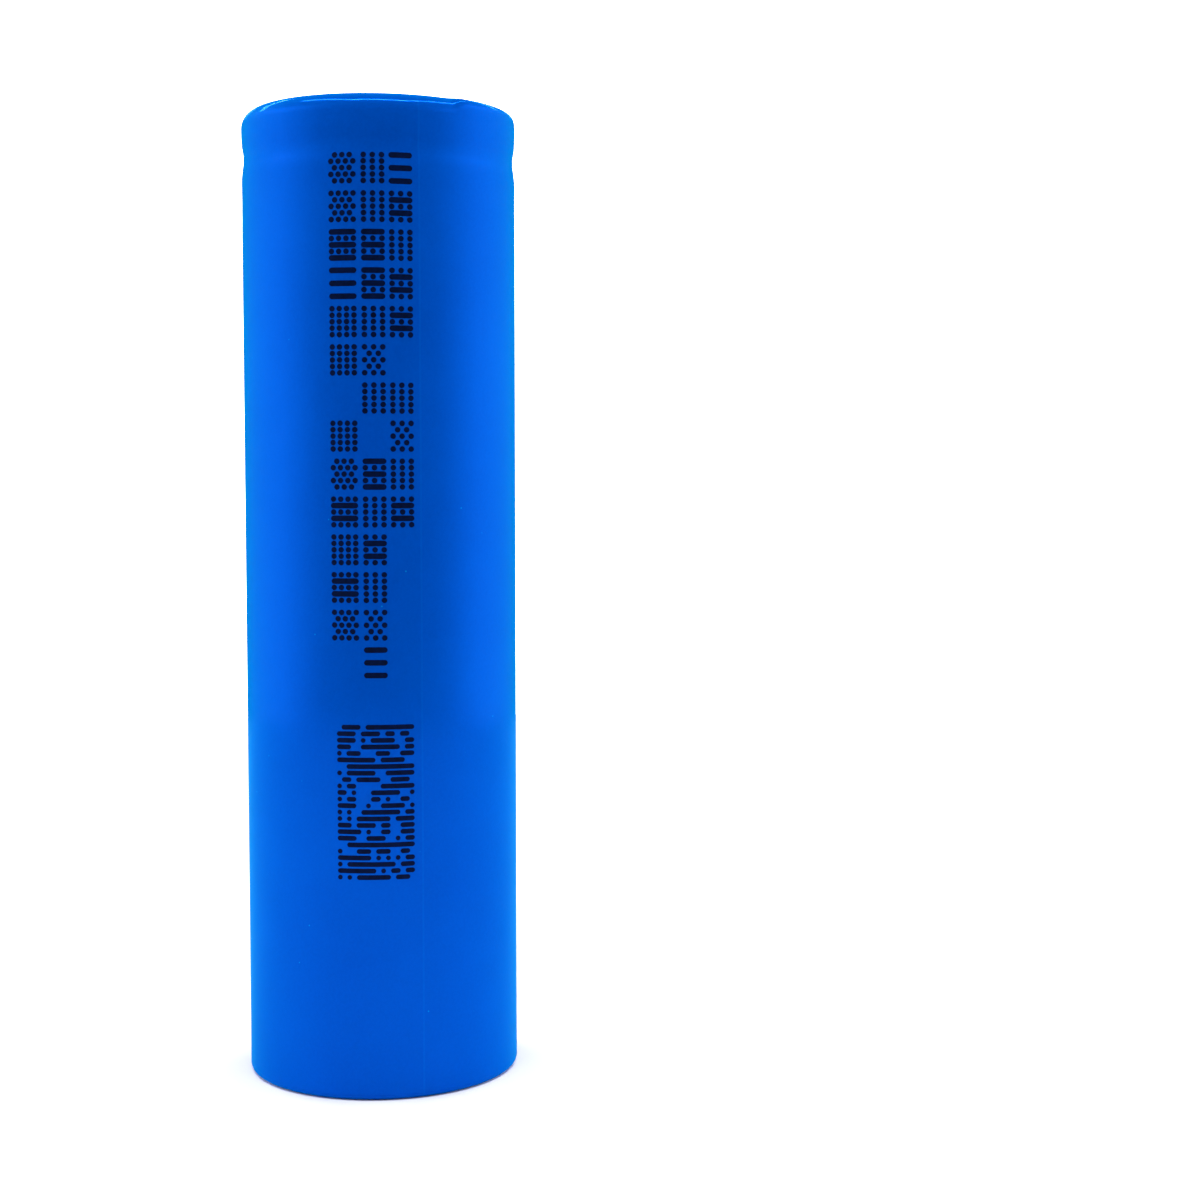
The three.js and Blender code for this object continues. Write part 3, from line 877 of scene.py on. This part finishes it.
def studio():
    """A round white table in a room with a wide window on either side, darker behind the camera.

    The camera itself sees plain white past the table.
    """
    under = -FLOOR_THICKNESS
    table = [(0, under), (FLOOR_RADIUS, under), (FLOOR_RADIUS, 0), (0, 0)]
    turned("floor", table, FLOOR, HIDDEN_SEGMENTS)

    world = bpy.data.worlds.new("studio")
    bpy.context.scene.world = world
    world.use_nodes = True
    tree = world.node_tree
    direction = node(tree, "ShaderNodeTexCoord").outputs["Generated"]
    along = node(tree, "ShaderNodeSeparateXYZ", {"Vector": direction}).outputs
    sideways = node(tree, "ShaderNodeMath", {0: along["X"]}, operation="ABSOLUTE").outputs["Value"]
    windows = ramp(tree, sideways, [(0.4, ROOM_WALL), (0.95, 1.0)])
    depth = node(tree, "ShaderNodeMapRange", {"Value": along["Y"], "From Min": -0.7, "From Max": 0.0})
    away = ramp(tree, depth.outputs["Result"], [(0.0, ROOM_FRONT), (1.0, 1.0)])
    room = node(tree, "ShaderNodeVectorMath", {0: windows, 1: away}, operation="MULTIPLY").outputs["Vector"]
    upward = ramp(tree, along["Z"], [(0.22, 0.6), (0.45, 1.0), (0.7, 0.2)])
    room = node(tree, "ShaderNodeVectorMath", {0: room, 1: upward}, operation="MULTIPLY").outputs["Vector"]
    seen = node(tree, "ShaderNodeLightPath").outputs["Is Camera Ray"]
    tree.links.new(blend(tree, seen, room, (1, 1, 1)), tree.nodes["Background"].inputs["Color"])
    tree.nodes["Background"].inputs["Strength"].default_value = ROOM_LIGHT


def strip_light(name, start, end, width, brightness):
    """A lit strip from one point to another, facing the cell; places and width are in cell heights."""
    low, high = cad_box
    centre, height = (low + high) / 2, high.z - low.z
    start, end = centre + Vector(start) * height, centre + Vector(end) * height
    length, place = (end - start).length, (start + end) / 2
    light = bpy.data.lights.new(name, "AREA")
    light.shape, light.size, light.size_y = "RECTANGLE", length, width * height
    light.energy = brightness * math.pi * length * width * height
    along = (end - start).normalized()
    back = (place - centre).normalized()
    back = (back - along * back.dot(along)).normalized()
    made = bpy.data.objects.new(name, light)
    made.matrix_world = Matrix((along, back.cross(along), back)).transposed().to_4x4()
    made.location = place
    bpy.context.scene.collection.objects.link(made)


def lights():
    """Strips round the top that draw the highlights on the sleeve's shoulder and light its back."""
    strips = (
        ("front", (-0.27, -0.3, 0.93), (0.27, -0.3, 0.93), 0.3, 38),
        ("front_left", (-0.5, 0.15, 0.85), (-0.27, -0.27, 0.93), 0.3, 24),
        ("front_right", (0.27, -0.27, 0.93), (0.5, 0.15, 0.85), 0.3, 24),
        ("back", (-0.4, 0.82, 0.42), (0.4, 0.82, 0.42), 0.7, 5),
        ("back_left", (-0.66, 0.5, 0.56), (-0.3, 0.62, 0.74), 0.4, 26),
        ("back_right", (0.3, 0.62, 0.74), (0.66, 0.5, 0.56), 0.4, 26),
    )
    for name, start, end, width, brightness in strips:
        start, end = Vector(start) * STRIP_DISTANCE, Vector(end) * STRIP_DISTANCE
        strip_light(name, start, end, width, brightness)


def camera():
    """The photo's view: a little above the middle of the cell, tilted down and turned to the right."""
    lens = bpy.data.cameras.new("camera")
    lens.sensor_width, lens.lens, lens.clip_start = 36, 59.07, 0.01
    made = bpy.data.objects.new("camera", lens)
    made.location = (0, -0.136, 0.04062)
    made.rotation_euler = (math.radians(90 - 3.59), 0, math.radians(-6.33))
    bpy.context.scene.collection.objects.link(made)
    bpy.context.scene.camera = made


camera()
studio()
lights()
bpy.context.scene.view_settings.view_transform = "Standard"

shrink_sleeve()
ink_print()
terminal_washer()
steel_can()
sealing_gasket()
terminal_cap()
vent_assembly()
perforated_disc("interrupt_plate", "cid_plate", ALUMINIUM, 0, (6, 3.3, 0.55))
perforated_disc("upper_insulator_disc", "upper_insulator", BOARD, 2.3, (6, 5.4, 0.9))
perforated_disc("lower_insulator_disc", "lower_insulator", BOARD, 2.3, (0, 0, 0))
electrode_roll()
tabs()
